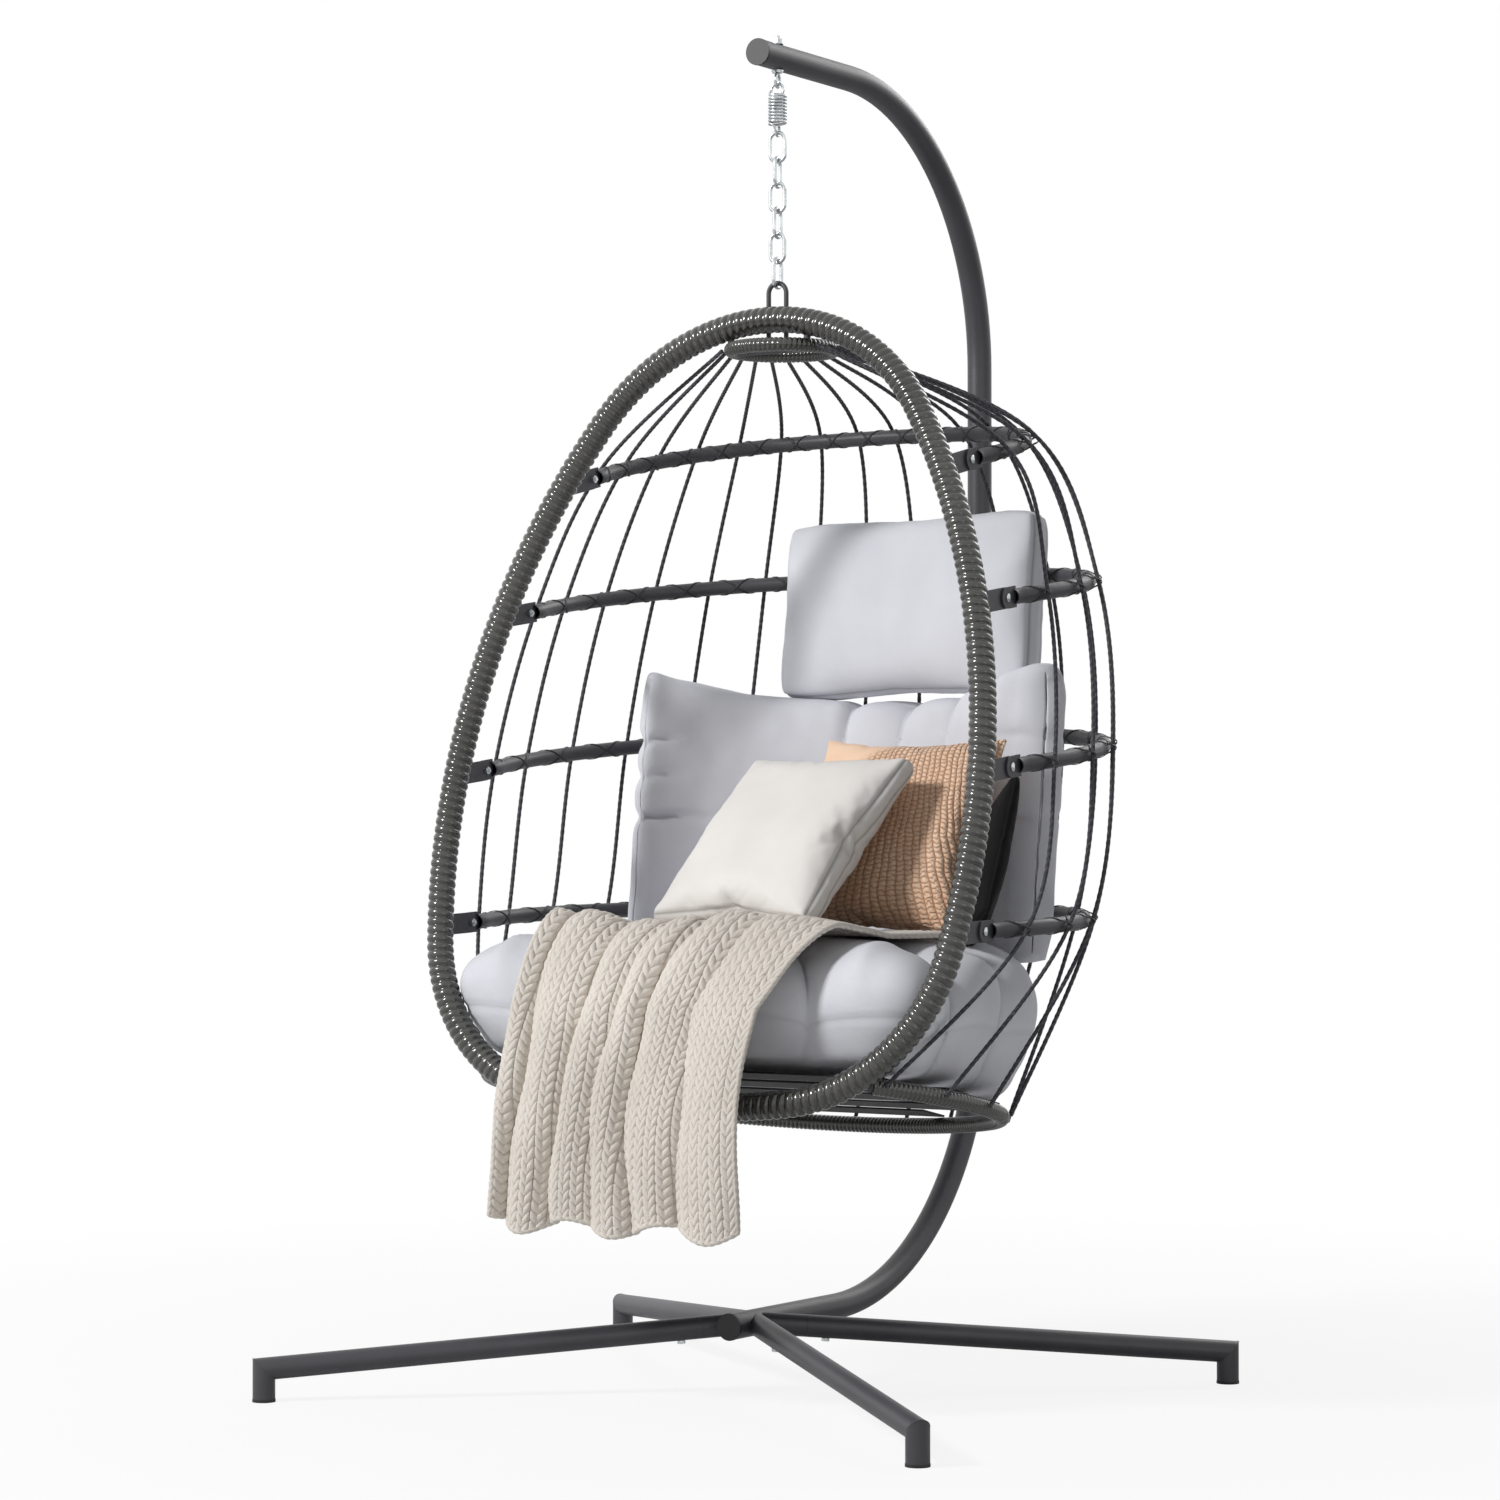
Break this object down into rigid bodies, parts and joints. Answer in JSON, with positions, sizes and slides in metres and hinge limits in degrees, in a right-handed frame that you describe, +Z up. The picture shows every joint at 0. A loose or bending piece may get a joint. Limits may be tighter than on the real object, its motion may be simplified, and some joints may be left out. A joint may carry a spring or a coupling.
{
  "type": "hanging egg chair",
  "caption": "Egg-shaped rope basket chair with cushions and a throw, hung from a curved floor stand by a spring and a short chain.",
  "frame": {"origin": "on the floor, under the centre of the whole chair's bounding box", "axes": "+X to the right of the stand seen from its open front, +Y from the open front towards the upright, +Z up"},
  "size_m": [1.099, 1.1549, 1.9616],
  "materials": {
    "stand_paint": "satin powder coat",
    "basket_paint": "satin powder coat",
    "black_plastic": "moulded, matte",
    "zinc_steel": "bright zinc plate",
    "rattan": "round synthetic rattan strip, wound side by side",
    "grey_rope": "twisted cord",
    "black_strap": "woven webbing",
    "grey_cloth": "plain weave, soft",
    "white_cloth": "linen weave",
    "peach_cloth": "smocked weave",
    "black_cloth": "plain weave",
    "knit_wool": "chunky knit"
  },
  "bodies": {
    "stand": {"pole_lower": "stand_paint", "pole_upper": "stand_paint", "pole_bolts": "zinc_steel", "pole_nuts": "zinc_steel", "arm_end_cap": "black_plastic", "base_end_cap": "black_plastic", "leg_front_left": "stand_paint", "leg_front_right": "stand_paint", "leg_rear_left": "stand_paint", "leg_rear_right": "stand_paint", "foot_cap_front_left": "black_plastic", "foot_cap_front_right": "black_plastic", "foot_cap_rear_left": "black_plastic", "foot_cap_rear_right": "black_plastic", "leg_bolts": "zinc_steel", "eye_bolt": "zinc_steel", "eye_washer_lower": "zinc_steel", "eye_washer_upper": "zinc_steel", "eye_nut": "zinc_steel"},
    "spring_body": {"spring": "zinc_steel"},
    "chain_upper": {"link_1": "zinc_steel"},
    "chain_lower": {"link_2": "zinc_steel", "link_3": "zinc_steel", "link_4": "zinc_steel", "link_5": "zinc_steel", "link_6": "zinc_steel"},
    "basket": {"hanger_loop": "basket_paint", "hoop_tube": "basket_paint", "hoop_wrap": "rattan", "bar_tabs": "basket_paint", "top_ring": "basket_paint", "top_ring_wrap": "rattan", "bottom_ring": "basket_paint", "bottom_ring_wrap": "rattan", "seat_straps": "black_strap", "bar_screws": "zinc_steel", "bar_nuts": "zinc_steel", "bar_1": "basket_paint", "bar_2": "basket_paint", "bar_3": "basket_paint", "bar_4": "basket_paint", "bar_lacing_1": "grey_rope", "bar_lacing_2": "grey_rope", "bar_lacing_3": "grey_rope", "bar_lacing_4": "grey_rope", "ropes_left": "grey_rope", "ropes_back_left": "grey_rope", "ropes_back": "grey_rope", "ropes_back_right": "grey_rope", "ropes_right": "grey_rope", "seat_cushion": "grey_cloth", "back_cushion": "grey_cloth", "head_cushion": "grey_cloth", "white_pillow": "white_cloth", "peach_pillow": "peach_cloth", "black_pillow": "black_cloth", "knit_throw": "knit_wool"}
  },
  "joints": [
    {"name": "swing_side", "type": "hinge", "parent": "stand", "child": "spring_body", "pos_m": [0, -0.04375, 1.8869], "axis": [-0.2588, 0.9659, 0], "range_deg": [-8, 8]},
    {"name": "bounce", "type": "slide", "parent": "spring_body", "child": "chain_upper", "axis": [0, 0, 1], "range_m": [-0.03, 0], "stiffness_N_per_m": 25000, "springref_m": 0.02, "deforming": ["spring"]},
    {"name": "swing_front_back", "type": "hinge", "parent": "chain_upper", "child": "chain_lower", "pos_m": [0, -0.04375, 1.77782], "axis": [0.9659, 0.2588, 0], "range_deg": [-12, 3]},
    {"name": "swivel", "type": "hinge", "parent": "chain_lower", "child": "basket", "pos_m": [0, -0.04375, 1.60087], "axis": [0, 0, 1], "range_deg": [-12, 12]}
  ]
}
